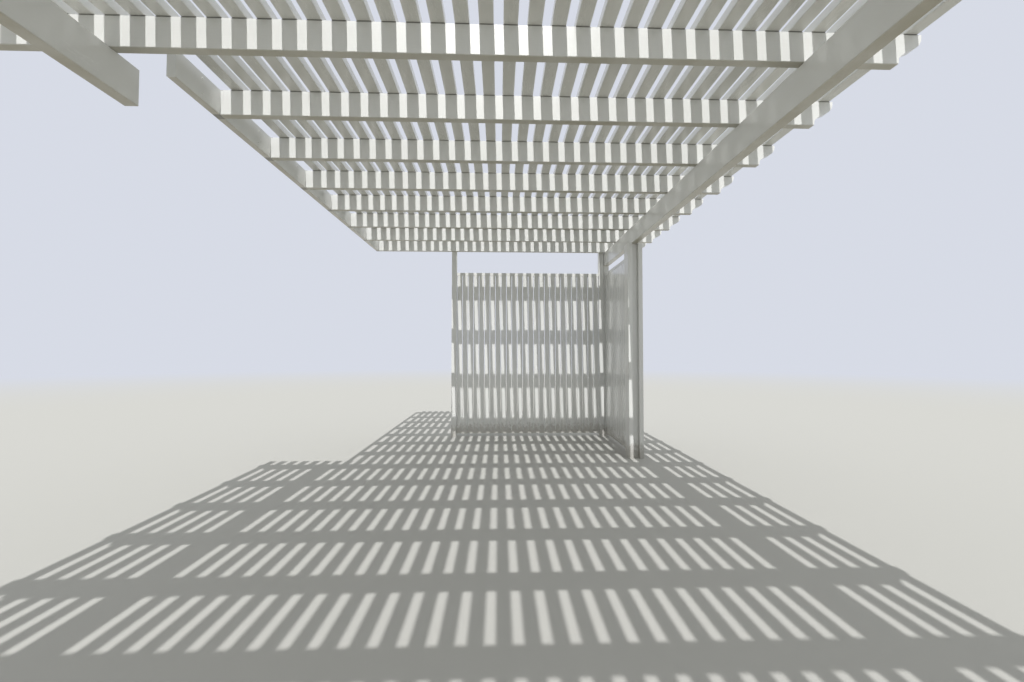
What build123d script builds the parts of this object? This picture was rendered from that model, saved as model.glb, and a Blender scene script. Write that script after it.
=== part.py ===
from build123d import *
import os

os.makedirs("parts", exist_ok=True)

# Wall-side pergola of painted aluminium tube. The tubes' ends are capped, so each tube is drawn solid.
# Their rounded corners are drawn as small flats.
# Millimetres, +Z up. X runs away from the house's side wall, Y runs along that wall from the near end.
# The floor is Z = 0, and the origin is on the floor at the middle of the plan.

# Heights above the floor
beam_underside = 2623
screen_head_gap = 116
screen_foot = 50

# Tube sections, width by height
rafter_width = 50.8
rafter_height = 165.1
beam_width = 76.2
beam_height = 203.2
post_side = 76.2
plate_width = 50.8
plate_depth = 165.1
ledger_thickness = 50.8
slat_width = 76.2
slat_height = 50.8
board_width = 76.2
board_thickness = 38.1
corner_flat = 3
cap_thickness = 3

# The rails' U-shaped section, in which the boards stand
rail_height = 38.1
rail_wall = 2
rail_clearance = 0.5

# Plan: distances from the house's side wall, and along it from the house's front wall
wall_to_beam = 3499
wall_to_inner_beam = 105
tail_length = 575
inner_tail_length = 740
rafter_spacing = 609.6
first_wall_rafter = 431
wall_rafters = 7
front_rafters = 7
ledger_setback = 51
slat_overhang = 100
slat_wall_gap = 20

# Slats
slat_spacing = 127
slat_inset = 20
slats_per_bank = 8

# Posts and screens
wing_length = 1349
screen_post_setback = 1149
screen_post_gap = 3
least_board_gap = 7
near_post_bay = 1

# The corbel cut on the tails, for a tube as high as a rafter
cut_reach = 132
nose_lean = 6
nose_rise = 34
cove_reach = 92
cove_rise = 87
cove_hollow = 6
fillet_rise = 15
ovolo_bulge = 11

# Places that follow from the sizes
rafter_underside = beam_underside + beam_height
rafter_top = rafter_underside + rafter_height
screen_top = beam_underside - screen_head_gap
right_reach = wall_to_beam + beam_width + tail_length
left_reach = wall_to_inner_beam + beam_width + inner_tail_length
wall_x = (left_reach - right_reach) / 2
ledger_face_x = wall_x + ledger_thickness
beam_x = wall_x + wall_to_beam
beam_centre_x = beam_x + beam_width / 2
inner_beam_x = wall_x - wall_to_inner_beam - beam_width
inner_beam_centre_x = inner_beam_x + beam_width / 2
right_tip = wall_x + right_reach
left_tip = wall_x - left_reach

last_rafter_back = first_wall_rafter + (wall_rafters - 1) * rafter_spacing + rafter_width
far_reach = last_rafter_back + slat_overhang
near_reach = front_rafters * rafter_spacing - first_wall_rafter + slat_overhang
front_wall_y = (near_reach - far_reach) / 2
near_end_y = front_wall_y - near_reach
far_end_y = front_wall_y + far_reach
screen_y = front_wall_y + last_rafter_back + post_side / 2
near_rafter_y = near_end_y + slat_overhang
near_post_y = near_rafter_y + near_post_bay * rafter_spacing + rafter_width / 2
wing_post_y = screen_y - wing_length
beam_far_y = screen_y + post_side / 2


def corbel_end(tip, top, height, side):
    """Draws a corbel-cut end from the lower corner up the nose, cove and ovolo to the top corner."""
    scale = height / rafter_height
    heel = (tip - side * scale * cut_reach, top - height)
    nose = (heel[0] + side * scale * nose_lean, heel[1] + scale * nose_rise)
    waist = (heel[0] + side * scale * cove_reach, heel[1] + scale * cove_rise)
    shoulder = (tip, top - scale * fillet_rise)
    Line(heel, nose)
    SagittaArc(nose, waist, side * scale * cove_hollow)
    SagittaArc(waist, shoulder, -side * scale * ovolo_bulge)
    Line(shoulder, (tip, top))
    return heel


def corbel_cap(tip, top, height, side):
    """Draws an end cap: the slice between a corbel-cut end and the same curve moved in by its thickness."""
    tube_tip = tip - side * cap_thickness
    outer_heel = corbel_end(tip, top, height, side)
    inner_heel = corbel_end(tube_tip, top, height, side)
    Line(outer_heel, inner_heel)
    Line((tip, top), (tube_tip, top))


def channel(centre, web, opens):
    """Draws a rail's U-shaped section on its web's outer face, open upwards for 1 and downwards for -1."""
    depth = board_thickness + 2 * (rail_wall + rail_clearance)
    with Locations((centre, web + opens * rail_height / 2)):
        Rectangle(depth, rail_height)
    with Locations((centre, web + opens * (rail_height + rail_wall) / 2)):
        Rectangle(depth - 2 * rail_wall, rail_height - rail_wall, mode=Mode.SUBTRACT)


def slat_row(first_x, count):
    """Draws the sections of a row of slats on the rafters, from the first one towards the house."""
    with Locations((first_x - (count - 1) * slat_spacing / 2, rafter_top + slat_height / 2)):
        with GridLocations(slat_spacing, 0, count, 1):
            Rectangle(slat_width, slat_height)


def finish(builder, name):
    """Names a finished piece and writes it."""
    builder.part.label = name
    export_step(builder.part, f"parts/{name}.step")


# Ledger: the tube along the side wall that the short rafters butt against, with a square cap on each end
ledger_near_y = front_wall_y + ledger_setback
ledger_far_y = front_wall_y + last_rafter_back
with BuildPart() as ledger:
    with BuildSketch(Plane.XZ.offset(-ledger_near_y - cap_thickness)):
        with Locations((wall_x + ledger_thickness / 2, rafter_underside + rafter_height / 2)):
            Rectangle(ledger_thickness, rafter_height)
    extrude(amount=ledger_near_y - ledger_far_y + 2 * cap_thickness)
    chamfer(ledger.edges().filter_by(Axis.Y), corner_flat)
finish(ledger, "ledger")

with BuildPart() as ledger_caps:
    with BuildSketch(Plane.XZ.offset(-ledger_near_y), Plane.XZ.offset(cap_thickness - ledger_far_y)):
        with Locations((wall_x + ledger_thickness / 2, rafter_underside + rafter_height / 2)):
            Rectangle(ledger_thickness, rafter_height)
    extrude(amount=-cap_thickness)
    chamfer(ledger_caps.edges().filter_by(Axis.Y), corner_flat)
finish(ledger_caps, "ledger_caps")

# Beams: the outer one stands on the outer posts, and the inner one butts against the house's front wall.
# Each is corbel cut at its near end, and the outer one ends square over the corner post
tube_near_y = near_end_y + cap_thickness
beams = {
    "outer_beam": (beam_x, beam_far_y - cap_thickness),
    "inner_beam": (inner_beam_x, front_wall_y),
}
for name, (side_x, tube_far_y) in beams.items():
    with BuildPart() as beam:
        with BuildSketch(Plane.YZ.offset(side_x)):
            with BuildLine():
                heel = corbel_end(tube_near_y, rafter_underside, beam_height, -1)
                Polyline(
                    heel,
                    (tube_far_y, beam_underside),
                    (tube_far_y, rafter_underside),
                    (tube_near_y, rafter_underside),
                )
            make_face()
        extrude(amount=beam_width)
        chamfer(beam.edges().filter_by(Axis.Y), corner_flat)
    finish(beam, name)

# Beam caps: a corbel-shaped one on each near end, and a square one over the corner post
with BuildPart() as beam_caps:
    with BuildSketch(Plane.YZ.offset(beam_x), Plane.YZ.offset(inner_beam_x)):
        with BuildLine():
            corbel_cap(near_end_y, rafter_underside, beam_height, -1)
        make_face()
    extrude(amount=beam_width)
    with BuildSketch(Plane.XZ.offset(-beam_far_y)):
        with Locations((beam_centre_x, beam_underside + beam_height / 2)):
            Rectangle(beam_width, beam_height)
    extrude(amount=cap_thickness)
    chamfer(beam_caps.edges().filter_by(Axis.Y), corner_flat)
finish(beam_caps, "beam_caps")

# Rafters: the front ones lie across both beams with a corbel tail at each end, and the others butt the
# ledger and pass over the outer beam
rafter_places = [near_rafter_y + index * rafter_spacing for index in range(front_rafters + wall_rafters)]
tube_right_tip = right_tip - cap_thickness
tube_left_tip = left_tip + cap_thickness
for index, rafter_y in enumerate(rafter_places):
    with BuildPart() as rafter:
        with BuildSketch(Plane.XZ.offset(-rafter_y)):
            with BuildLine():
                right_heel = corbel_end(tube_right_tip, rafter_top, rafter_height, 1)
                if index < front_rafters:
                    left_heel = corbel_end(tube_left_tip, rafter_top, rafter_height, -1)
                    Line(left_heel, right_heel)
                    Line((tube_left_tip, rafter_top), (tube_right_tip, rafter_top))
                else:
                    Polyline(
                        right_heel,
                        (ledger_face_x, rafter_underside),
                        (ledger_face_x, rafter_top),
                        (tube_right_tip, rafter_top),
                    )
            make_face()
        extrude(amount=-rafter_width)
        chamfer(rafter.edges().filter_by(Axis.X), corner_flat)
    finish(rafter, f"rafter_{index + 1:02d}")

# Rafter caps: a corbel-shaped one on every tail, outside the outer beam and, on the front rafters, inside too
tails = {
    right_tip: (1, rafter_places),
    left_tip: (-1, rafter_places[:front_rafters]),
}
with BuildPart() as rafter_caps:
    for tip, (side, places) in tails.items():
        with BuildSketch(*[Plane.XZ.offset(-rafter_y) for rafter_y in places]):
            with BuildLine():
                corbel_cap(tip, rafter_top, rafter_height, side)
            make_face()
        extrude(amount=-rafter_width)
    chamfer(rafter_caps.edges().filter_by(Axis.X), corner_flat)
finish(rafter_caps, "rafter_caps")

# Slats: laid flat across the rafters, side by side, in banks, as many as fit from the tips to the ledger.
# Short ones over the front part only stop just short of the house's front wall
outer_slat_x = right_tip - slat_inset - slat_width / 2
full_slats = int((outer_slat_x - slat_width / 2 - ledger_face_x) // slat_spacing) + 1
first_short_x = outer_slat_x - full_slats * slat_spacing
front_slats = int((first_short_x - slat_width / 2 - slat_inset - left_tip) // slat_spacing) + 1
short_end_y = front_wall_y - slat_wall_gap
banks = {}
for bank, first in enumerate(range(0, full_slats, slats_per_bank)):
    count = min(slats_per_bank, full_slats - first)
    banks[f"slat_bank_{bank + 1}"] = (outer_slat_x - first * slat_spacing, count, far_end_y)
banks["slat_bank_front"] = (first_short_x, front_slats, short_end_y)

for name, (first_x, count, end_y) in banks.items():
    with BuildPart() as slats:
        with BuildSketch(Plane.XZ.offset(-near_end_y - cap_thickness)):
            slat_row(first_x, count)
        extrude(amount=near_end_y - end_y + 2 * cap_thickness)
        chamfer(slats.edges().filter_by(Axis.Y), corner_flat)
    finish(slats, name)

# Slat caps: a square one on each end of every slat
with BuildPart() as slat_caps:
    for first_x, count, end_y in banks.values():
        with BuildSketch(Plane.XZ.offset(-near_end_y), Plane.XZ.offset(cap_thickness - end_y)):
            slat_row(first_x, count)
        extrude(amount=-cap_thickness)
    chamfer(slat_caps.edges().filter_by(Axis.Y), corner_flat)
finish(slat_caps, "slat_caps")

# Posts: square tubes. Those of the screen stand behind the last rafter, and the others under the beams
screen_post_left_x = wall_x + screen_post_setback + post_side / 2
screen_post_right_x = beam_x - screen_post_gap - post_side / 2
posts = {
    "near_post_outer": (beam_centre_x, near_post_y, beam_underside),
    "near_post_inner": (inner_beam_centre_x, near_post_y, beam_underside),
    "wing_post": (beam_centre_x, wing_post_y, beam_underside),
    "corner_post": (beam_centre_x, screen_y, beam_underside),
    "screen_post_left": (screen_post_left_x, screen_y, rafter_top),
    "screen_post_right": (screen_post_right_x, screen_y, rafter_top),
}
for name, (x, y, height) in posts.items():
    with BuildPart() as post:
        with BuildSketch():
            with Locations((x, y)):
                Rectangle(post_side, post_side)
        extrude(amount=height)
        chamfer(post.edges().filter_by(Axis.Z), corner_flat)
    finish(post, name)

# Side plates: two deeper tubes that flank each free post and make it look wide
for name in ("near_post_outer", "near_post_inner", "wing_post"):
    x, y, height = posts[name]
    with BuildPart() as plates:
        with BuildSketch():
            with Locations((x, y)):
                with GridLocations(post_side + plate_width, 0, 2, 1):
                    Rectangle(plate_width, plate_depth)
        extrude(amount=height)
        chamfer(plates.edges().filter_by(Axis.Z), corner_flat)
    finish(plates, f"{name}_plates")

# Privacy screen: upright boards from post to post, held in a foot channel and a head channel
screen_left = screen_post_left_x + post_side / 2
screen_right = screen_post_right_x - post_side / 2
screen_span = screen_right - screen_left
screen_boards_count = int((screen_span - least_board_gap) // (board_width + least_board_gap))
screen_pitch = (screen_span + board_width) / (screen_boards_count + 1)
board_foot = screen_foot + rail_wall
board_length = screen_top - rail_wall - board_foot
with BuildPart() as screen_rails:
    with BuildSketch(Plane.YZ.offset(screen_left)):
        channel(screen_y, screen_foot, 1)
        channel(screen_y, screen_top, -1)
    extrude(amount=screen_span)
finish(screen_rails, "screen_rails")

with BuildPart() as screen_boards:
    with BuildSketch(Plane.XY.offset(board_foot)):
        with Locations(((screen_left + screen_right) / 2, screen_y)):
            with GridLocations(screen_pitch, 0, screen_boards_count, 1):
                Rectangle(board_width, board_thickness)
    extrude(amount=board_length)
    chamfer(screen_boards.edges().filter_by(Axis.Z), corner_flat)
finish(screen_boards, "screen_boards")

# Wing screen: the same boards and channels, turned to stand under the outer beam
wing_near = wing_post_y + post_side / 2
wing_far = screen_y - post_side / 2
wing_span = wing_far - wing_near
wing_boards_count = int((wing_span - least_board_gap) // (board_width + least_board_gap))
wing_pitch = (wing_span + board_width) / (wing_boards_count + 1)
with BuildPart() as wing_rails:
    with BuildSketch(Plane.XZ.offset(-wing_near)):
        channel(beam_centre_x, screen_foot, 1)
        channel(beam_centre_x, screen_top, -1)
    extrude(amount=-wing_span)
finish(wing_rails, "wing_rails")

with BuildPart() as wing_boards:
    with BuildSketch(Plane.XY.offset(board_foot)):
        with Locations((beam_centre_x, (wing_near + wing_far) / 2)):
            with GridLocations(0, wing_pitch, 1, wing_boards_count):
                Rectangle(board_thickness, board_width)
    extrude(amount=board_length)
    chamfer(wing_boards.edges().filter_by(Axis.Z), corner_flat)
finish(wing_boards, "wing_boards")
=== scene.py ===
import math

import bpy
import numpy as np
from bpy.props import FloatProperty, FloatVectorProperty, IntProperty, PointerProperty
from mathutils import Matrix, Vector


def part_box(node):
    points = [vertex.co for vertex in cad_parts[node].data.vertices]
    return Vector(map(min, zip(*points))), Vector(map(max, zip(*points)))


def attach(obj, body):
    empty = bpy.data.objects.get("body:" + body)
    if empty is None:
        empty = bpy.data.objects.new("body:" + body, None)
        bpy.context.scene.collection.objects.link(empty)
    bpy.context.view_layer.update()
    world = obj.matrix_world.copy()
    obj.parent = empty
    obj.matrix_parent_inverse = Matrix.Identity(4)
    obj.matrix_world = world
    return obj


bl_info = {
    "name": "Pergola",
    "version": (1, 0, 0),
    "blender": (4, 5, 0),
    "location": "3D View > Sidebar > Pergola",
    "description": "Paints a pergola's aluminium tubes, adds its screws and sets it on a studio floor",
    "category": "Object",
}

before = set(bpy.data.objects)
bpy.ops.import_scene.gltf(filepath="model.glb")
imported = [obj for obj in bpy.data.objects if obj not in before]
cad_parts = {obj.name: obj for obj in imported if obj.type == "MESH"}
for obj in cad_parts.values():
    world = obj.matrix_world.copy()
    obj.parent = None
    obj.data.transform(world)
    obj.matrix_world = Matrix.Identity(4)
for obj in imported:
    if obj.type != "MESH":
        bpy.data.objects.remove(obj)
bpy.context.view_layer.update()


def low(node):
    """The lowest corner of a CAD node."""
    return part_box(node)[0]


def high(node):
    """The highest corner of a CAD node."""
    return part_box(node)[1]


def middle(node):
    """The middle of a CAD node's box."""
    return (low(node) + high(node)) / 2


def nodes_named(*beginnings):
    """The names of the CAD nodes that begin with one of these words, in order."""
    return sorted(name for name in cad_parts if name.startswith(beginnings))


# What the frame tells of the tubes, in metres. The rafters are in order from the near end.
RAFTERS = [name for name in nodes_named("rafter_") if name != "rafter_caps"]
LEDGER_RAFTERS = [name for name in RAFTERS if low(name).x > low("ledger").x]
RAFTER_START = middle(RAFTERS[0]).y
RAFTER_SPACING = (middle(RAFTERS[-1]).y - RAFTER_START) / (len(RAFTERS) - 1)
RAFTER_WIDTH = high(RAFTERS[0]).y - low(RAFTERS[0]).y
RAFTER_TOP = high(RAFTERS[0]).z
BEAM_TOP = high("outer_beam").z
BEAM_UNDERSIDE = low("outer_beam").z
POST_SIDE = high("corner_post").x - low("corner_post").x

# What the box round a bank of slats or a screen doesn't tell, in metres and by count
SLAT_SPACING = 0.127
SLAT_WIDTH = 0.0762
BOARD_WIDTH = 0.0762
SCREEN_BOARDS = 26
WING_BOARDS = 15

# The middle line of the outermost slat, where the rows of slats start
SLAT_START = high("slat_bank_1").x - SLAT_WIDTH / 2

# Direction in which each kind of tube's embossed grain runs
ALONG_X, ALONG_Y, ALONG_Z = (1, 0, 0), (0, 1, 0), (0, 0, 1)

# Where the cells that part the tubes start, outside the pergola, and a length that holds any tube
CELL_START = -9.0
CELL_LENGTH = 30.0


class Reading:
    """A value or vector at each point of a surface. Arithmetic on a value adds Math nodes for it."""

    def __init__(self, tree, socket):
        self.tree = tree
        self.socket = socket

    def maths(self, operation, *values):
        """What a Math node makes of these values."""
        return self.tree.node("ShaderNodeMath", {"operation": operation}, dict(enumerate(values)))

    def __add__(self, other):
        return self.maths("ADD", self, other)

    def __radd__(self, other):
        return self.maths("ADD", other, self)

    def __sub__(self, other):
        return self.maths("SUBTRACT", self, other)

    def __rsub__(self, other):
        return self.maths("SUBTRACT", other, self)

    def __mul__(self, other):
        return self.maths("MULTIPLY", self, other)

    def __rmul__(self, other):
        return self.maths("MULTIPLY", other, self)

    def __mod__(self, other):
        return self.maths("FLOORED_MODULO", self, other)

    def __abs__(self):
        return self.maths("ABSOLUTE", self)

    def root(self):
        """The square root."""
        return self.maths("SQRT", self)


class Tree:
    """A node tree, with one method that adds any node and a few for the nodes that are used most."""

    def __init__(self, node_tree):
        self.node_tree = node_tree

    def join(self, value, socket):
        """Links a reading to a socket, or writes a plain value into it."""
        if isinstance(value, Reading):
            self.node_tree.links.new(value.socket, socket)
        elif socket.type == "RGBA":
            socket.default_value = (*value, 1)
        else:
            socket.default_value = value

    def node(self, kind, settings=None, sockets=None, output=0):
        """Adds a node of a kind: its settings, then its sockets' values or links. Gives one output."""
        added = self.node_tree.nodes.new(kind)
        for setting, value in (settings or {}).items():
            setattr(added, setting, value)
        for socket, value in (sockets or {}).items():
            self.join(value, added.inputs[socket])
        return Reading(self, added.outputs[output])

    def vector_maths(self, operation, *vectors, output="Vector"):
        """What a Vector Math node makes of these vectors: a vector, or a number at the output Value."""
        sockets = dict(enumerate(vectors))
        return self.node("ShaderNodeVectorMath", {"operation": operation}, sockets, output)

    def mix(self, factor, first, second):
        """A colour between two, by a factor. A Mix node has its colours at sockets 6 and 7 and output 2."""
        sockets = {0: factor, 6: first, 7: second}
        return self.node("ShaderNodeMix", {"data_type": "RGBA"}, sockets, output=2)

    def ramp(self, value, start, end):
        """A smooth rise from 0 at start to 1 at end. Where start is larger, a growing value falls to 0."""
        if start > end:
            return 1 - self.ramp(value, end, start)
        sockets = {0: value, 1: start, 2: end}
        return self.node("ShaderNodeMapRange", {"interpolation_type": "SMOOTHSTEP"}, sockets)

    def band(self, value, start, full, ebb, end):
        """1 while a value is between full and ebb, and 0 before start and after end."""
        return self.ramp(value, start, full) * self.ramp(value, end, ebb)

    def seen(self):
        """1 for rays that show the background: from the camera, in a reflection or through a clear thing."""
        kinds = ("Is Camera Ray", "Is Glossy Ray", "Is Transmission Ray")
        direct, reflected, through = (self.node("ShaderNodeLightPath", output=kind) for kind in kinds)
        return direct + reflected + through


def dimmed(colour, share):
    """A colour at this share of its brightness."""
    return tuple(part * share for part in colour)


def across(along, fine, coarse):
    """Scales along X, Y and Z that are coarse along the grain and fine across it."""
    return tuple(coarse if part else fine for part in along)


class Finish(Tree):
    """A procedural finish on Object coordinates, built up from the paint to the dirt and the painted shade
    on it.

    Scales are per metre. Each method that adds a layer changes the colour and the roughness so far.
    """

    def __init__(self, name):
        self.material = bpy.data.materials.new(name)
        self.material.use_nodes = True
        super().__init__(self.material.node_tree)
        self.shader = self.node_tree.nodes["Principled BSDF"]
        self.place = self.node("ShaderNodeTexCoord", output="Object")
        self.x, self.y, self.z = self.parts(self.place)
        self.normal = self.parts(self.node("ShaderNodeTexCoord", output="Normal"))
        self.upward = self.normal[2]

    def parts(self, vector):
        """The three parts of a vector."""
        separate = self.node("ShaderNodeSeparateXYZ", sockets={0: vector}).socket.node
        return [Reading(self, output) for output in separate.outputs]

    def noise(self, scales, detail=2.0, roughness=0.5, distortion=0.0):
        """Noise with its own scale along X, Y and Z, or with one scale all ways."""
        each_way = scales if isinstance(scales, tuple) else (scales, scales, scales)
        sockets = {
            "Vector": self.vector_maths("MULTIPLY", self.place, each_way),
            "Scale": 1.0,
            "Detail": detail,
            "Roughness": roughness,
            "Distortion": distortion,
        }
        return self.node("ShaderNodeTexNoise", sockets=sockets)

    def each_tube(self, start, cell):
        """A random value from 0 to 1 that stays the same over each cell of a grid that holds one tube."""
        shifted = self.vector_maths("SUBTRACT", self.place, start)
        counted = self.vector_maths("DIVIDE", shifted, cell)
        whole = self.vector_maths("FLOOR", counted)
        return self.node("ShaderNodeTexWhiteNoise", {"noise_dimensions": "3D"}, {"Vector": whole})

    def from_rows(self, value, start, spacing):
        """How far a value is from the nearest of the evenly spaced rows that begin at start."""
        return abs((value - (start - spacing / 2)) % spacing - spacing / 2)

    def near_rows(self, value, start, spacing, reach, softness):
        """1 within reach of evenly spaced rows, and 0 beyond the softness outside it."""
        return self.ramp(self.from_rows(value, start, spacing), reach + softness, reach)

    def on_the_flats(self):
        """1 on a corner's flat, where the sizes of the normal's parts add up to 1.41, and 0 on a side."""
        return self.ramp(abs(self.normal[0]) + abs(self.normal[1]) + abs(self.normal[2]), 1.25, 1.38)

    def coat(self, paint, along, tubes, roughness):
        """The paint itself: a slightly different tone on each tube, soft chalking and fine flecks."""
        tone = self.mix(tubes, dimmed(paint.colour, 1 - paint.tone_spread), paint.colour)
        chalk = self.ramp(self.noise(across(along, fine=9.0, coarse=1.3), detail=4.0), 0.42, 0.75)
        self.colour = self.mix(chalk * 0.5, tone, dimmed(paint.colour, 0.965))
        fleck = self.noise(across(along, fine=300.0, coarse=40.0))
        self.roughness = (fleck - 0.5) * 0.08 + chalk * 0.06 + tubes * 0.04 + (roughness - 0.04)

    def grain(self, paint, along, strength=1.0):
        """The embossed wood grain, as height for a bump: fine fibres and broad wavering bands."""
        fibres = self.noise(across(along, fine=520.0, coarse=11.0), detail=3.0, roughness=0.65)
        bands = self.noise(across(along, fine=70.0, coarse=2.2), distortion=0.9)
        ridges = abs((bands * 9.0) % 1.0 - 0.5)
        self.height = fibres * 0.7 + ridges * 0.5
        self.bump_strength = paint.grain_strength * strength
        between_fibres = self.ramp(fibres, 0.62, 0.36)
        self.colour = self.mix(between_fibres * 0.18, self.colour, dimmed(paint.colour, 0.88))

    def unevenness(self, scale, strength, detail=2.0):
        """A fine unevenness in place of a grain, as height for a bump."""
        self.height = self.noise(scale, detail)
        self.bump_strength = strength

    def stain(self, mask, colour, rougher=0.25):
        """A mark of another colour where the mask says so, duller than what is round it."""
        self.colour = self.mix(mask, self.colour, colour)
        self.roughness = self.roughness + mask * rougher

    def wear(self, paint):
        """Corners rubbed dull and a little greyer, in patches along the tube."""
        patches = self.ramp(self.noise(5.0, detail=5.0, roughness=0.7), 0.40, 0.70)
        self.stain(self.on_the_flats() * (patches * 0.8 + 0.2) * paint.wear, paint.worn_colour)

    def dust(self, paint, amount=1.0):
        """Dust and pollen that lie in drifts and specks on what faces up."""
        drifts = self.ramp(self.noise(7.0, detail=6.0, roughness=0.6), 0.34, 0.72)
        specks = self.ramp(self.noise(160.0), 0.55, 0.75)
        lying = self.ramp(self.upward, 0.35, 0.9) * (drifts * 0.55 + specks * 0.3 + 0.25)
        self.stain(lying * (paint.dust * amount), paint.dust_colour, rougher=0.30)

    def underside_shade(self, paint, amount=1.0):
        """Painted shade on what faces down: an olive darkening in soft clouds for the shade and the ground's
        reflection there, a little rougher as dust makes it.
        """
        clouds = self.ramp(self.noise(3.0, detail=5.0, roughness=0.6), 0.30, 0.70)
        below = self.ramp(self.upward, -0.5, -0.95)
        self.stain(below * (clouds * 0.35 + 0.65) * (paint.underside_shade * amount), paint.underside_shade_colour, rougher=0.1)

    def joint_shadow_and_grime(self, paint, mask):
        """Painted contact shadow with some grime: dark in a joint between tubes, where the mask says so."""
        self.stain(mask * paint.joint_shadow_amount, paint.joint_shadow_colour)

    def splash(self, paint, reach):
        """Dirt splashed up from the ground, thick at the foot and breaking into specks above."""
        specks = self.noise((38.0, 38.0, 24.0), detail=5.0, roughness=0.7)
        nearness = self.ramp(self.z, reach, 0.0)
        self.stain(self.ramp(specks + nearness * 0.55, 0.62, 0.95) * paint.dirt, paint.dirt_colour)

    def streaks(self, paint, fall, amount=0.15):
        """Run-off streaks on upright faces: narrow sideways, long downwards, and fading as they fall."""
        lines = self.ramp(self.noise(across(ALONG_Z, fine=46.0, coarse=1.6), detail=3.0), 0.52, 0.74)
        upright = self.ramp(abs(self.upward), 0.5, 0.1)
        self.stain(lines * upright * fall * (amount * paint.dirt), paint.dirt_colour, rougher=0.12)

    def make_material(self, specular=0.5, coat_weight=0.0, coat_roughness=0.14):
        """Joins the built-up colour, roughness and height to the shader, and gives the material."""
        self.join(self.colour, self.shader.inputs["Base Color"])
        self.join(self.roughness, self.shader.inputs["Roughness"])
        sockets = {"Strength": self.bump_strength, "Distance": 0.0006, "Height": self.height}
        self.join(self.node("ShaderNodeBump", sockets=sockets), self.shader.inputs["Normal"])
        self.shader.inputs["Specular IOR Level"].default_value = specular
        self.shader.inputs["Coat Weight"].default_value = coat_weight
        self.shader.inputs["Coat Roughness"].default_value = coat_roughness
        return self.material


def put_on(material, names):
    """Puts a material in every slot of these CAD nodes."""
    for name in names:
        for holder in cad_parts[name].material_slots:
            holder.material = material


class PergolaPaint(bpy.types.PropertyGroup):
    """The paint on the tubes, the dirt on it and the painted shade in its undersides and joints."""

    colour: FloatVectorProperty(
        name="Paint", description="Colour of the clean paint",
        subtype="COLOR", size=3, min=0, max=1, default=(0.815, 0.82, 0.805))
    cap_colour: FloatVectorProperty(
        name="Caps", description="Colour of the end caps",
        subtype="COLOR", size=3, min=0, max=1, default=(0.80, 0.805, 0.79))
    roughness: FloatProperty(
        name="Roughness", description="Roughness of the clean paint",
        subtype="FACTOR", min=0, max=1, default=0.25)
    rafter_roughness: FloatProperty(
        name="Rafter roughness", description="Roughness of the rafters' paint",
        subtype="FACTOR", min=0, max=1, default=0.33)
    screen_roughness: FloatProperty(
        name="Screen roughness", description="Roughness of the screens' glossier boards",
        subtype="FACTOR", min=0, max=1, default=0.17)
    tone_spread: FloatProperty(
        name="Tone spread", description="How much darker the darkest tube is than the lightest",
        subtype="FACTOR", min=0, max=1, default=0.035)
    grain_strength: FloatProperty(
        name="Grain", description="Strength of the embossed grain",
        subtype="FACTOR", min=0, max=1, default=0.35)
    dust: FloatProperty(
        name="Dust", description="How thickly dust covers what faces up",
        subtype="FACTOR", min=0, max=1, default=0.75)
    dust_colour: FloatVectorProperty(
        name="Dust colour", description="Colour of the dust and pollen",
        subtype="COLOR", size=3, min=0, max=1, default=(0.46, 0.44, 0.37))
    wear: FloatProperty(
        name="Wear", description="How much the corners are rubbed",
        subtype="FACTOR", min=0, max=1, default=0.35)
    worn_colour: FloatVectorProperty(
        name="Worn colour", description="Colour of the rubbed corners",
        subtype="COLOR", size=3, min=0, max=1, default=(0.60, 0.60, 0.59))
    dirt: FloatProperty(
        name="Dirt", description="How much dirt is splashed on the feet and has run down upright faces",
        subtype="FACTOR", min=0, max=1, default=0.55)
    dirt_colour: FloatVectorProperty(
        name="Dirt colour", description="Colour of the dirt",
        subtype="COLOR", size=3, min=0, max=1, default=(0.26, 0.235, 0.19))
    # Painted shade on the undersides: how strong it is and its olive colour, which stands in for the shade
    # and the ground's reflection
    underside_shade: FloatProperty(
        name="Soil", description="How much the undersides of beams, rafters and slats are dulled",
        subtype="FACTOR", min=0, max=1, default=0.75)
    underside_shade_colour: FloatVectorProperty(
        name="Soil colour", description="Colour of the dulled undersides",
        subtype="COLOR", size=3, min=0, max=1, default=(0.36, 0.325, 0.225))
    # Painted contact shadow with some grime in the joints between tubes: how strong it is and its colour
    joint_shadow_amount: FloatProperty(
        name="Joint dirt", description="How much grime fills the joints between tubes",
        subtype="FACTOR", min=0, max=1, default=0.70)
    joint_shadow_colour: FloatVectorProperty(
        name="Joint colour", description="Colour of the grime in the joints",
        subtype="COLOR", size=3, min=0, max=1, default=(0.10, 0.095, 0.08))


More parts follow.
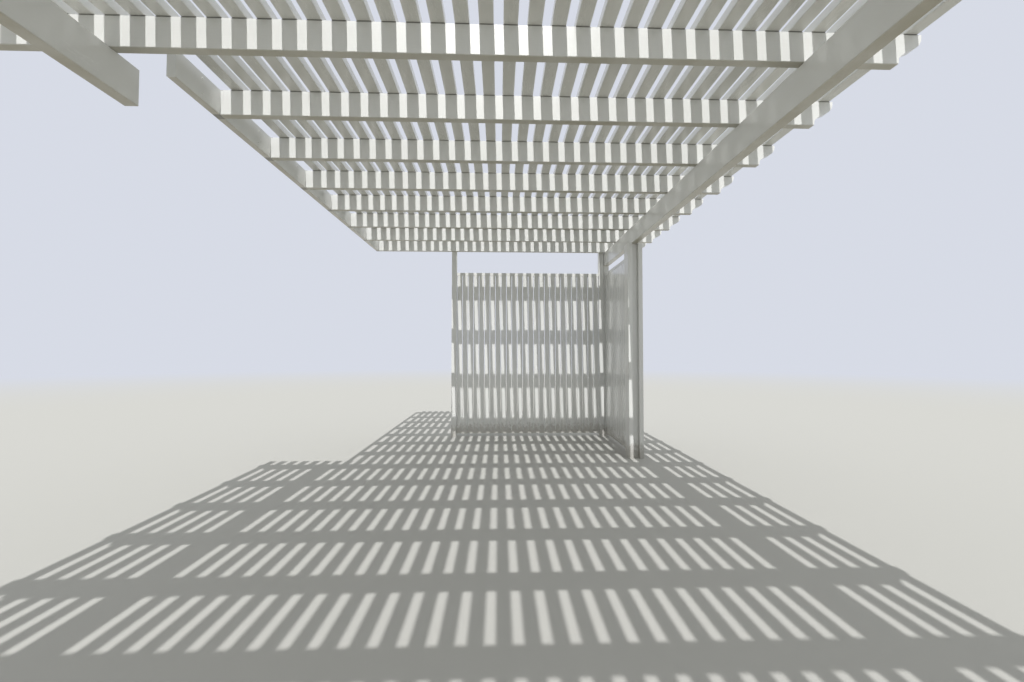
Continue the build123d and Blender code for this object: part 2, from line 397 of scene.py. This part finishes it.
class PergolaScrews(bpy.types.PropertyGroup):
    """The screws' sizes, places and paint."""

    flange_radius: FloatProperty(
        name="Flange radius", description="Radius of the flange under a hexagonal head",
        unit="LENGTH", default=0.0072)
    flange_thickness: FloatProperty(
        name="Flange thickness", description="Thickness of the flange under a hexagonal head",
        unit="LENGTH", default=0.0012)
    hex_half: FloatProperty(
        name="Half width of hexagon", description="Half the width across a hexagonal head's flats",
        unit="LENGTH", default=0.0047)
    hex_height: FloatProperty(
        name="Height of hexagon", description="Height of a hexagonal head",
        unit="LENGTH", default=0.0048)
    pan_radius: FloatProperty(
        name="Pan radius", description="Radius of a pan head",
        unit="LENGTH", default=0.0046)
    pan_height: FloatProperty(
        name="Pan height", description="Height of a pan head",
        unit="LENGTH", default=0.0024)
    ledger_inset: FloatProperty(
        name="Ledger rows", description="How far the ledger's screws are from its edges",
        unit="LENGTH", default=0.037)
    ledger_lead: FloatProperty(
        name="Ledger lead", description="How far the ledger's screws are in front of each rafter",
        unit="LENGTH", default=0.168)
    rafter_inset: FloatProperty(
        name="Rafter inset", description="How far the rafters' screws are from their edges",
        unit="LENGTH", default=0.024)
    plate_rows: IntProperty(
        name="Plate rows", description="How many pairs of screws hold each side plate", min=2, default=6)
    foot_height: FloatProperty(
        name="Foot height", description="How high the posts' foot screws are",
        unit="LENGTH", default=0.045)
    plate_offset: FloatProperty(
        name="Plate offset", description="How far the side plates' screws are from their middle lines",
        unit="LENGTH", default=0.05)
    rail_inset: FloatProperty(
        name="Rail inset", description="How far the rails' screws are from the screens' feet and heads",
        unit="LENGTH", default=0.020)
    colour: FloatVectorProperty(
        name="Screw paint", description="Colour of the screws' painted heads",
        subtype="COLOR", size=3, min=0, max=1, default=(0.87, 0.87, 0.855))
    metal: FloatVectorProperty(
        name="Bare metal", description="Colour of the zinc where the paint is chipped",
        subtype="COLOR", size=3, min=0, max=1, default=(0.56, 0.57, 0.58))


class PergolaStage(bpy.types.PropertyGroup):
    """The camera, the light and the studio floor."""

    sensor_width: FloatProperty(
        name="Sensor width", description="Width of the camera's sensor, in millimetres", default=36.0)
    lens: FloatProperty(
        name="Lens", description="Focal length, in millimetres", default=14.87)
    camera_x: FloatProperty(
        name="Camera beside the beam", description="How far the camera is from the outer beam",
        unit="LENGTH", default=1.624)
    camera_y: FloatProperty(
        name="Camera along the beam", description="Place of the camera along the outer beam",
        unit="LENGTH", default=-2.4956)
    camera_height: FloatProperty(
        name="Camera height", description="Height of the camera over the floor",
        unit="LENGTH", default=1.270)
    pitch: FloatProperty(
        name="Pitch", description="How far the camera looks up",
        subtype="ANGLE", default=math.radians(1.665))
    yaw: FloatProperty(
        name="Yaw", description="How far the camera looks to the right of the beams' line",
        subtype="ANGLE", default=math.radians(1.75))
    roll: FloatProperty(
        name="Roll", description="How far the camera leans",
        subtype="ANGLE", default=math.radians(0.05))
    sun_direction: FloatVectorProperty(
        name="Sun direction", description="Direction in which the sunlight travels",
        subtype="DIRECTION", size=3, default=(0.023, 0.672, -0.740))
    sun_strength: FloatProperty(
        name="Sun strength", description="Strength of the sun lamp", default=2.85)
    sun_angle: FloatProperty(
        name="Sun angle", description="Width of the sun, which softens its shadows",
        subtype="ANGLE", default=math.radians(0.4))
    sun_colour: FloatVectorProperty(
        name="Sun colour", description="Colour of the sunlight",
        subtype="COLOR", size=3, min=0, max=1, default=(1.0, 0.993, 0.978))
    fill_strength: FloatProperty(
        name="Fill", description="Strength of the even light from all round", default=0.69)
    fill_colour: FloatVectorProperty(
        name="Fill colour", description="Colour of the even light",
        subtype="COLOR", size=3, min=0, max=1, default=(0.965, 0.99, 1.0))
    glow_direction: FloatVectorProperty(
        name="Glow direction", description="Where the brighter part of the even light is",
        subtype="DIRECTION", size=3, default=(0.45, -0.893, 0.0))
    glow_strength: FloatProperty(
        name="Glow", description="How much brighter the even light is there, low over the floor",
        default=0.1)
    backdrop: FloatVectorProperty(
        name="Backdrop", description="Colour of the background",
        subtype="COLOR", size=3, min=0, max=1, default=(0.68, 0.71, 0.79))
    floor_radius: FloatProperty(
        name="Floor radius", description="Radius of the floor",
        unit="LENGTH", default=60.0)
    floor_colour: FloatVectorProperty(
        name="Floor", description="Colour of the floor as it is seen",
        subtype="COLOR", size=3, min=0, max=1, default=(0.52, 0.515, 0.49))
    fade_start: FloatProperty(
        name="Fade start", description="Where the floor begins to fade into the background",
        unit="LENGTH", default=11.0)
    fade_end: FloatProperty(
        name="Fade end", description="Where the floor has become the background",
        unit="LENGTH", default=34.0)
    floor_bounce: FloatVectorProperty(
        name="Floor bounce", description="Colour of the light that the floor throws up",
        subtype="COLOR", size=3, min=0, max=1, default=(0.30, 0.29, 0.25))
    open_bounce: FloatVectorProperty(
        name="Open floor bounce", description="Colour of the light thrown up further away",
        subtype="COLOR", size=3, min=0, max=1, default=(0.50, 0.495, 0.46))
    open_start: FloatProperty(
        name="Open floor start", description="How far from the middle the open floor begins",
        unit="LENGTH", default=2.5)
    open_end: FloatProperty(
        name="Open floor end", description="How far from the middle all is open floor",
        unit="LENGTH", default=5.5)
    back_bounce: FloatVectorProperty(
        name="Back floor bounce", description="Colour of the light thrown up far behind the camera",
        subtype="COLOR", size=3, min=0, max=1, default=(0.50, 0.51, 0.50))
    back_start: FloatProperty(
        name="Back floor start", description="Where along the beams the back floor begins",
        unit="LENGTH", default=-6.5)
    back_end: FloatProperty(
        name="Back floor end", description="Where along the beams all is back floor",
        unit="LENGTH", default=-9.5)


class PERGOLA_OT_paint_beams(bpy.types.Operator):
    """Paint the beams and the ledger, with grain along them, painted shade on their undersides and painted
    contact shadow with grime where the rafters cross
    """

    bl_idname = "pergola.paint_beams"
    bl_label = "Paint beams and ledger"

    def execute(self, context):
        paint = context.scene.pergola_paint
        finish = Finish("beam_paint")
        # Cells 1.2 m wide, one for the ledger and the inner beam and one for the outer beam
        tubes = finish.each_tube((-0.9, CELL_START, 0.0), (1.2, CELL_LENGTH, CELL_LENGTH))
        finish.coat(paint, ALONG_Y, tubes, paint.roughness)
        finish.grain(paint, ALONG_Y)
        finish.wear(paint)
        # Painted shade and painted reflection of the ground on the undersides
        finish.underside_shade(paint, amount=1.25)
        crossing = finish.near_rows(
            finish.y, RAFTER_START, RAFTER_SPACING, reach=RAFTER_WIDTH / 2 + 0.0016, softness=0.004)
        # The beams' tops and the ledger's underside are at one level; the painted contact shadow, with some
        # grime, is round it where each rafter crosses
        level = finish.band(finish.z, BEAM_TOP - 0.006, BEAM_TOP - 0.001, BEAM_TOP, BEAM_TOP + 0.003)
        finish.joint_shadow_and_grime(paint, crossing * level)
        finish.dust(paint)
        material = finish.make_material(coat_weight=0.7, coat_roughness=0.1)
        put_on(material, ["outer_beam", "inner_beam", "ledger"])
        return {"FINISHED"}


class PERGOLA_OT_paint_rafters(bpy.types.Operator):
    """Paint the rafters, with grain along them, painted contact shadow with grime in the joints under the
    slats, streaks below and painted shade on their undersides
    """

    bl_idname = "pergola.paint_rafters"
    bl_label = "Paint rafters"

    def execute(self, context):
        paint = context.scene.pergola_paint
        finish = Finish("rafter_paint")
        start = (CELL_START, RAFTER_START - RAFTER_SPACING / 2, 0.0)
        tubes = finish.each_tube(start, (CELL_LENGTH, RAFTER_SPACING, CELL_LENGTH))
        finish.coat(paint, ALONG_X, tubes, paint.rafter_roughness)
        finish.grain(paint, ALONG_X)
        finish.wear(paint)
        edge = SLAT_WIDTH / 2
        from_slat = finish.from_rows(finish.x, SLAT_START, SLAT_SPACING)
        below_edge = finish.band(from_slat, edge - 0.004, edge, edge + 0.003, edge + 0.012)
        fall = finish.ramp(finish.z, RAFTER_TOP - 0.12, RAFTER_TOP)
        finish.streaks(paint, below_edge * fall, amount=0.6)
        # Painted shade on the undersides
        finish.underside_shade(paint)
        # Painted contact shadow, with some grime, in the top few millimetres of the faces under each slat
        under_slat = finish.near_rows(finish.x, SLAT_START, SLAT_SPACING, reach=edge, softness=0.003)
        clean, darkest = RAFTER_TOP - 0.0075, RAFTER_TOP - 0.002
        finish.joint_shadow_and_grime(paint, under_slat * finish.ramp(finish.z, clean, darkest))
        finish.dust(paint)
        put_on(finish.make_material(), RAFTERS)
        return {"FINISHED"}


class PERGOLA_OT_paint_slats(bpy.types.Operator):
    """Paint the slats, with grain along them, dust on top, dirt round the plugs of their screws, painted
    shade on their undersides and painted contact shadow over the rafters
    """

    bl_idname = "pergola.paint_slats"
    bl_label = "Paint slats"

    def execute(self, context):
        paint = context.scene.pergola_paint
        finish = Finish("slat_paint")
        start = (SLAT_START - SLAT_SPACING / 2, CELL_START, 0.0)
        tubes = finish.each_tube(start, (SLAT_SPACING, CELL_LENGTH, CELL_LENGTH))
        finish.coat(paint, ALONG_Y, tubes, paint.roughness)
        finish.grain(paint, ALONG_Y)
        finish.wear(paint)
        # A little painted shade on the undersides
        finish.underside_shade(paint, amount=0.3)
        finish.dust(paint)
        from_slat = finish.from_rows(finish.x, SLAT_START, SLAT_SPACING)
        from_rafter = finish.from_rows(finish.y, RAFTER_START, RAFTER_SPACING)
        from_plug = (from_slat * from_slat + from_rafter * from_rafter).root()
        seam = finish.band(from_plug, 0.0068, 0.0076, 0.0082, 0.0090)
        on_top = finish.ramp(finish.upward, 0.8, 0.95)
        finish.stain(seam * on_top * 0.75, paint.dirt_colour)
        # Painted contact shadow, with some grime, low on the slats where they lie on the rafters
        over_rafter = finish.near_rows(
            finish.y, RAFTER_START, RAFTER_SPACING, reach=RAFTER_WIDTH / 2, softness=0.005)
        clean, darkest = RAFTER_TOP + 0.004, RAFTER_TOP + 0.001
        finish.joint_shadow_and_grime(paint, over_rafter * finish.ramp(finish.z, clean, darkest))
        put_on(finish.make_material(coat_weight=0.2), nodes_named("slat_bank"))
        return {"FINISHED"}


class PERGOLA_OT_paint_posts(bpy.types.Operator):
    """Paint the posts and their side plates, with grain up them and dirt splashed on their feet"""

    bl_idname = "pergola.paint_posts"
    bl_label = "Paint posts"

    def execute(self, context):
        paint = context.scene.pergola_paint
        members = nodes_named("near_post", "wing_post", "corner_post", "screen_post")
        plates = [name for name in members if name.endswith("plates")]
        posts = [name for name in members if name not in plates]
        for slot, names in (("post_paint", posts), ("plate_paint", plates)):
            finish = Finish(slot)
            # Narrow cells, so that the posts and their plates differ a little in tone
            tubes = finish.each_tube((-0.03, -0.02, 0.0), (0.127, 0.7, CELL_LENGTH))
            finish.coat(paint, ALONG_Z, tubes, paint.roughness)
            finish.grain(paint, ALONG_Z)
            finish.wear(paint)
            finish.splash(paint, reach=0.30)
            fall = finish.ramp(finish.z, 1.7, BEAM_UNDERSIDE)
            finish.streaks(paint, fall)
            finish.dust(paint)
            put_on(finish.make_material(), names)
        return {"FINISHED"}


class PERGOLA_OT_paint_screens(bpy.types.Operator):
    """Paint the screens' glossy boards, with grain up them, and the plain rails they stand in"""

    bl_idname = "pergola.paint_screens"
    bl_label = "Paint screens"

    def execute(self, context):
        paint = context.scene.pergola_paint
        screen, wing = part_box("screen_boards"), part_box("wing_boards")
        pitch = (screen[1].x - screen[0].x - BOARD_WIDTH) / (SCREEN_BOARDS - 1)
        half_gap = (pitch - BOARD_WIDTH) / 2
        start = (screen[0].x - half_gap, wing[0].y - half_gap, 0.0)
        finish = Finish("board_paint")
        boards = finish.each_tube(start, (pitch, pitch, CELL_LENGTH))
        finish.coat(paint, ALONG_Z, boards, paint.screen_roughness)
        finish.grain(paint, ALONG_Z, strength=0.8)
        finish.wear(paint)
        finish.splash(paint, reach=0.34)
        fall = finish.ramp(finish.z, screen[1].z - 0.5, screen[1].z)
        finish.streaks(paint, fall)
        put_on(finish.make_material(specular=0.7, coat_weight=1.0), ["screen_boards", "wing_boards"])

        finish = Finish("rail_paint")
        foot_and_head = finish.each_tube((CELL_START, CELL_START, 0.0), (9.0, 9.0, 0.6))
        finish.coat(paint, ALONG_Z, foot_and_head, paint.roughness)
        finish.grain(paint, ALONG_Z, strength=0.15)
        finish.wear(paint)
        finish.splash(paint, reach=0.34)
        finish.dust(paint, amount=1.2)
        put_on(finish.make_material(), nodes_named("screen_rails", "wing_rails"))
        return {"FINISHED"}


class PERGOLA_OT_paint_caps(bpy.types.Operator):
    """Paint the end caps, smooth and without grain, with rubbed corners, dust and faint streaks"""

    bl_idname = "pergola.paint_caps"
    bl_label = "Paint end caps"

    def execute(self, context):
        paint = context.scene.pergola_paint
        finish = Finish("cap_paint")
        start = (CELL_START - 0.03, CELL_START - 0.03, 0.0)
        caps = finish.each_tube(start, (SLAT_SPACING, RAFTER_SPACING / 2, CELL_LENGTH))
        finish.coat(paint, ALONG_Z, caps, paint.roughness)
        finish.colour = finish.mix(0.7, finish.colour, paint.cap_colour)
        finish.unevenness(scale=90.0, strength=paint.grain_strength * 0.4, detail=3.0)
        finish.wear(paint)
        fall = finish.ramp(finish.z, BEAM_UNDERSIDE, RAFTER_TOP)
        finish.streaks(paint, fall, amount=0.3)
        finish.dust(paint)
        put_on(finish.make_material(), [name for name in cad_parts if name.endswith("caps")])
        return {"FINISHED"}


def ring_quads(rings, sides):
    """The quads between each ring of points and the next, for rings of one number of points."""
    ring = np.arange(rings - 1)[:, None] * sides
    side = np.arange(sides)[None, :]
    after = (side + 1) % sides
    corners = [ring + side, ring + after, ring + sides + after, ring + sides + side]
    return np.stack(corners, axis=-1).reshape(-1, 4)


def pole_triangles(ring, sides, pole):
    """The triangles between a ring, given by its first point, and the pole that closes it."""
    side = np.arange(sides)
    return np.stack([ring + side, ring + (side + 1) % sides, np.full(sides, pole)], axis=-1)


def add_mesh(context, name, points, faces, material):
    """Adds an object at the origin with this mesh and material."""
    mesh = bpy.data.meshes.new(name)
    mesh.from_pydata(points, [], faces)
    mesh.materials.append(material)
    added = bpy.data.objects.new(name, mesh)
    context.scene.collection.objects.link(added)
    return added


def head_surface(places, outward, rings, sides, turns):
    """The meshes of many like screw heads as one.

    A head is a surface over its rings and the angle round its axis. A point lies at its ring's height
    along the axis and at its ring's radius from it. On a hexagonal ring the radius is the half width
    across the flats divided by the cosine of the angle from the middle of the nearest flat. Each end
    closes on a pole.
    """
    radius, height, hexagonal = (np.array(column, float) for column in zip(*rings))
    angle = np.arange(sides) * 2 * np.pi / sides
    to_flat = (angle + np.pi / 6) % (np.pi / 3) - np.pi / 6
    reach = radius[:, None] * np.where(hexagonal[:, None] > 0, 1 / np.cos(to_flat), 1.0)
    axis = np.broadcast_to(np.array(outward, float), places.shape)
    helper = np.where(np.abs(axis[:, 2:]) > 0.5, [ALONG_X], [ALONG_Z])
    first = np.cross(helper, axis)
    second = np.cross(axis, first)
    turned = angle[None, :] + turns[:, None]
    spoke = np.cos(turned)[..., None] * first[:, None] + np.sin(turned)[..., None] * second[:, None]
    rise = axis[:, None, None] * height[None, :, None, None]
    skin = places[:, None, None] + spoke[:, None] * reach[None, :, :, None] + rise
    poles = places[:, None] + axis[:, None] * height[[0, -1]][None, :, None]
    points = np.concatenate([skin.reshape(len(places), -1, 3), poles], axis=1)

    bottom, top = len(rings) * sides, len(rings) * sides + 1
    lid = pole_triangles((len(rings) - 1) * sides, sides, top)
    base = pole_triangles(0, sides, bottom)[:, [1, 0, 2]]
    step = np.arange(len(places))[:, None, None] * points.shape[1]
    groups = (ring_quads(len(rings), sides), lid, base)
    faces = [(group[None] + step).reshape(-1, group.shape[1]).tolist() for group in groups]
    return points.reshape(-1, 3), sum(faces, [])


def hexagon_rings(screws):
    """The rings of a hexagonal head on its flange: radius, height and whether it has six sides."""
    flange, thickness = screws.flange_radius, screws.flange_thickness
    half, rise = screws.hex_half, screws.hex_height
    step, crown = 0.0001, 0.0004
    return [
        (flange, 0, 0),
        (flange * 0.92, thickness, 0),
        (half, thickness + step, 1),
        (half, rise, 1),
        (half * 0.8, rise + crown, 0),
    ]


def pan_rings(screws):
    """The rings of a pan head, which narrows to a small flat top, by shares of its radius and height."""
    shares = ((1, 0), (0.93, 0.45), (0.66, 0.9), (0.3, 1))
    return [(screws.pan_radius * out, screws.pan_height * up, 0) for out, up in shares]


# Each kind of screw head's rings, and how many sides it has
HEADS = {"hexagon": (hexagon_rings, 12), "pan": (pan_rings, 10)}


def screw_paint(context):
    """Painted screw heads, with chips down to the zinc and a tinge of dirt on a few."""
    known = bpy.data.materials.get("screw_paint")
    if known:
        return known
    paint, screws = context.scene.pergola_paint, context.scene.pergola_screws
    finish = Finish("screw_paint")
    finish.coat(paint, ALONG_Z, finish.each_tube((0.0, 0.0, 0.0), (0.05, 0.05, 0.05)), paint.roughness)
    finish.colour = finish.mix(0.85, finish.colour, screws.colour)
    finish.roughness = finish.roughness * 0.8
    chips = finish.ramp(finish.noise(420.0, detail=3.0, roughness=0.6), 0.60, 0.68)
    finish.colour = finish.mix(chips * 0.8, finish.colour, screws.metal)
    finish.join(chips * 0.85, finish.shader.inputs["Metallic"])
    tinge = finish.ramp(finish.noise(21.0), 0.66, 0.82) * 0.3
    finish.stain(tinge, paint.dirt_colour)
    finish.unevenness(scale=500.0, strength=0.15)
    return finish.make_material()


def screw_piece(context, name, places, outward, kind, seed):
    """Adds screw heads at these places, each turned at random, as one piece of the object."""
    screws = context.scene.pergola_screws
    places = np.array(places, float)
    turns = np.random.default_rng(seed).uniform(0, 2 * np.pi, len(places))
    rings_of, sides = HEADS[kind]
    points, faces = head_surface(places, outward, rings_of(screws), sides, turns)
    piece = add_mesh(context, name, points, faces, screw_paint(context))
    piece.data.polygons.foreach_set("use_smooth", np.full(len(faces), kind == "pan"))
    piece.data.update()
    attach(piece, "root")


class PERGOLA_OT_ledger_screws(bpy.types.Operator):
    """Add the hexagonal screws through the ledger, two in front of each rafter that it carries"""

    bl_idname = "pergola.ledger_screws"
    bl_label = "Add ledger screws"

    def execute(self, context):
        screws = context.scene.pergola_screws
        rows = (low("ledger").z + screws.ledger_inset, high("ledger").z - screws.ledger_inset)
        along = [low(name).y - screws.ledger_lead for name in LEDGER_RAFTERS]
        places = [(high("ledger").x, y, z) for y in along for z in rows]
        screw_piece(context, "ledger_screws", places, ALONG_X, "hexagon", seed=3)
        return {"FINISHED"}


class PERGOLA_OT_rafter_screws(bpy.types.Operator):
    """Add the screws on the rafters' far sides, where inner brackets hold them to the beams and ledger"""

    bl_idname = "pergola.rafter_screws"
    bl_label = "Add rafter screws"

    def execute(self, context):
        inset = context.scene.pergola_screws.rafter_inset
        places = []
        for name in RAFTERS:
            face, bottom, top = high(name).y, low(name).z, high(name).z
            at_ledger = name in LEDGER_RAFTERS
            for beam in ["outer_beam"] if at_ledger else ["outer_beam", "inner_beam"]:
                places += [(middle(beam).x + side * inset, face, bottom + inset) for side in (-1, 1)]
            if at_ledger:
                places += [(low(name).x + inset, face, z) for z in (bottom + 2 * inset, top - 2 * inset)]
        screw_piece(context, "rafter_screws", places, ALONG_Y, "hexagon", seed=5)
        return {"FINISHED"}


class PERGOLA_OT_post_screws(bpy.types.Operator):
    """Add the screws at the far posts' feet and those that hold the side plates on their outer faces"""

    bl_idname = "pergola.post_screws"
    bl_label = "Add post screws"

    def execute(self, context):
        screws = context.scene.pergola_screws
        feet = []
        for name in nodes_named("corner_post", "screen_post"):
            centre, face = middle(name).x, high(name).y
            feet += [(centre + side * POST_SIDE / 4, face, screws.foot_height) for side in (-1, 1)]
        screw_piece(context, "foot_screws", feet, ALONG_Y, "hexagon", seed=7)

        lowest, highest = screws.foot_height, BEAM_UNDERSIDE - screws.foot_height
        heights = np.linspace(lowest, highest, screws.plate_rows)
        offsets = (-screws.plate_offset, screws.plate_offset)
        for post, side in (("wing_post", 1), ("near_post_outer", 1), ("near_post_inner", -1)):
            plates = f"{post}_plates"
            face = high(plates).x if side > 0 else low(plates).x
            places = [(face, middle(plates).y + offset, z) for z in heights for offset in offsets]
            screw_piece(context, f"{post}_screws", places, (side, 0, 0), "pan", seed=11)
        return {"FINISHED"}


class PERGOLA_OT_rail_screws(bpy.types.Operator):
    """Add the pan-head screws through the rails into each board, on the screens' outer sides"""

    bl_idname = "pergola.rail_screws"
    bl_label = "Add rail screws"

    def execute(self, context):
        inset = context.scene.pergola_screws.rail_inset
        screen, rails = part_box("screen_boards"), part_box("screen_rails")
        rows = (rails[0].z + inset, rails[1].z - inset)
        centres = np.linspace(screen[0].x + BOARD_WIDTH / 2, screen[1].x - BOARD_WIDTH / 2, SCREEN_BOARDS)
        places = [(x, rails[1].y, z) for x in centres for z in rows]
        screw_piece(context, "screen_screws", places, ALONG_Y, "pan", seed=13)

        wing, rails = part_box("wing_boards"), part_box("wing_rails")
        centres = np.linspace(wing[0].y + BOARD_WIDTH / 2, wing[1].y - BOARD_WIDTH / 2, WING_BOARDS)
        places = [(rails[1].x, y, z) for y in centres for z in rows]
        screw_piece(context, "wing_screws", places, ALONG_X, "pan", seed=17)
        return {"FINISHED"}


def add_camera(scene, stage):
    """The camera, which stands under the slats and looks along the beams."""
    camera = bpy.data.objects.new("camera", bpy.data.cameras.new("camera"))
    camera.data.sensor_width = stage.sensor_width
    camera.data.lens = stage.lens
    place = Vector((low("outer_beam").x - stage.camera_x, stage.camera_y, stage.camera_height))
    turn = Matrix.Rotation(-stage.yaw, 4, "Z") @ Matrix.Rotation(math.pi / 2 + stage.pitch, 4, "X")
    camera.matrix_world = Matrix.Translation(place) @ turn @ Matrix.Rotation(stage.roll, 4, "Z")
    scene.collection.objects.link(camera)
    scene.camera = camera


def add_sun(scene, stage):
    """The sun lamp, whose light comes through the slats."""
    sun = bpy.data.objects.new("sun", bpy.data.lights.new("sun", "SUN"))
    sun.data.energy = stage.sun_strength
    sun.data.angle = stage.sun_angle
    sun.data.color = stage.sun_colour
    sun.rotation_euler = Vector(stage.sun_direction).to_track_quat("-Z", "Y").to_euler()
    scene.collection.objects.link(sun)


def add_world(scene, stage):
    """The even light from all round, a little stronger low on one side, and the background that shows."""
    scene.world = bpy.data.worlds.new("studio")
    scene.world.use_nodes = True
    nodes = scene.world.node_tree.nodes
    nodes.remove(nodes["Background"])
    tree = Tree(scene.world.node_tree)
    towards = tree.node("ShaderNodeTexCoord", output="Generated")
    ahead = tree.vector_maths("DOT_PRODUCT", towards, stage.glow_direction, output="Value")
    rise = tree.vector_maths("DOT_PRODUCT", towards, ALONG_Z, output="Value")
    glow = tree.ramp(ahead, 0.0, 0.9) * tree.ramp(abs(rise), 0.55, 0.1)
    strength = glow * stage.glow_strength + stage.fill_strength
    fill = tree.node("ShaderNodeBackground", sockets={"Color": stage.fill_colour, "Strength": strength})
    shown = tree.node("ShaderNodeBackground", sockets={"Color": stage.backdrop, "Strength": 1.0})
    both = tree.node("ShaderNodeMixShader", sockets={0: tree.seen(), 1: fill, 2: shown})
    tree.join(both, nodes["World Output"].inputs["Surface"])


def disc_surface(reach, rings=24, sides=64):
    """The floor: a disc over ring and angle, each ring's radius growing with the square of its number."""
    radius = reach * (np.arange(1, rings + 1) / rings) ** 2
    angle = np.arange(sides) * 2 * np.pi / sides
    circle = np.stack([np.cos(angle), np.sin(angle), np.zeros(sides)], axis=-1)
    points = np.concatenate([(radius[:, None, None] * circle[None]).reshape(-1, 3), np.zeros((1, 3))])
    quads = ring_quads(rings, sides)[:, ::-1]
    hub = pole_triangles(0, sides, rings * sides)
    return points, quads.tolist() + hub.tolist()


def floor_finish(stage):
    """A pale floor that fades into the background, and whose bounced light has colours of its own."""
    finish = Finish("studio_floor")
    nodes = finish.node_tree.nodes
    nodes.remove(finish.shader)
    out = finish.vector_maths("LENGTH", finish.place, output="Value")
    away = finish.ramp(out, stage.fade_start, stage.fade_end)
    shown = finish.node("ShaderNodeBsdfDiffuse", sockets={"Color": stage.floor_colour})
    in_the_open = finish.ramp(out, stage.open_start, stage.open_end)
    at_the_back = finish.ramp(finish.y, stage.back_start, stage.back_end)
    bounce = finish.mix(in_the_open, stage.floor_bounce, stage.open_bounce)
    bounce = finish.mix(at_the_back, bounce, stage.back_bounce)
    thrown = finish.node("ShaderNodeBsdfDiffuse", sockets={"Color": bounce})
    distant = finish.node("ShaderNodeEmission", sockets={"Color": stage.backdrop, "Strength": 1.0})
    seen = finish.seen()
    near = finish.node("ShaderNodeMixShader", sockets={0: seen, 1: thrown, 2: shown})
    surface = finish.node("ShaderNodeMixShader", sockets={0: away * seen, 1: near, 2: distant})
    finish.join(surface, nodes["Material Output"].inputs["Surface"])
    return finish.material


class PERGOLA_OT_stage(bpy.types.Operator):
    """Set up the camera, the sun, the even fill and the pale studio floor"""

    bl_idname = "pergola.stage"
    bl_label = "Set the stage"

    def execute(self, context):
        scene, stage = context.scene, context.scene.pergola_stage
        scene.view_settings.view_transform = "Standard"
        add_camera(scene, stage)
        add_sun(scene, stage)
        add_world(scene, stage)
        points, faces = disc_surface(stage.floor_radius)
        floor = add_mesh(context, "floor", points, faces, floor_finish(stage))
        return {"FINISHED"}


class PERGOLA_PT_panel(bpy.types.Panel):
    """The pergola's settings and operators"""

    bl_idname = "PERGOLA_PT_panel"
    bl_label = "Pergola"
    bl_space_type = "VIEW_3D"
    bl_region_type = "UI"
    bl_category = "Pergola"

    def draw(self, context):
        for group in GROUPS:
            settings = getattr(context.scene, group)
            box = self.layout.box()
            for name in settings.__annotations__:
                box.prop(settings, name)
        for operator in OPERATORS:
            self.layout.operator(operator.bl_idname)


GROUPS = {
    "pergola_paint": PergolaPaint,
    "pergola_screws": PergolaScrews,
    "pergola_stage": PergolaStage,
}

OPERATORS = [
    PERGOLA_OT_paint_beams,
    PERGOLA_OT_paint_rafters,
    PERGOLA_OT_paint_slats,
    PERGOLA_OT_paint_posts,
    PERGOLA_OT_paint_screens,
    PERGOLA_OT_paint_caps,
    PERGOLA_OT_ledger_screws,
    PERGOLA_OT_rafter_screws,
    PERGOLA_OT_post_screws,
    PERGOLA_OT_rail_screws,
    PERGOLA_OT_stage,
]


def register():
    """Registers the classes and gives the scene their settings."""
    for member in (*GROUPS.values(), *OPERATORS, PERGOLA_PT_panel):
        bpy.utils.register_class(member)
    for name, group in GROUPS.items():
        setattr(bpy.types.Scene, name, PointerProperty(type=group))


def unregister():
    """Takes the settings and the classes away again."""
    for name in GROUPS:
        delattr(bpy.types.Scene, name)
    for member in reversed((*GROUPS.values(), *OPERATORS, PERGOLA_PT_panel)):
        bpy.utils.unregister_class(member)


def main():
    """Builds the looks in order."""
    register()
    bpy.ops.pergola.paint_beams()
    bpy.ops.pergola.paint_rafters()
    bpy.ops.pergola.paint_slats()
    bpy.ops.pergola.paint_posts()
    bpy.ops.pergola.paint_screens()
    bpy.ops.pergola.paint_caps()
    bpy.ops.pergola.ledger_screws()
    bpy.ops.pergola.rafter_screws()
    bpy.ops.pergola.post_screws()
    bpy.ops.pergola.rail_screws()
    bpy.ops.pergola.stage()


if __name__ == "__main__":
    main()
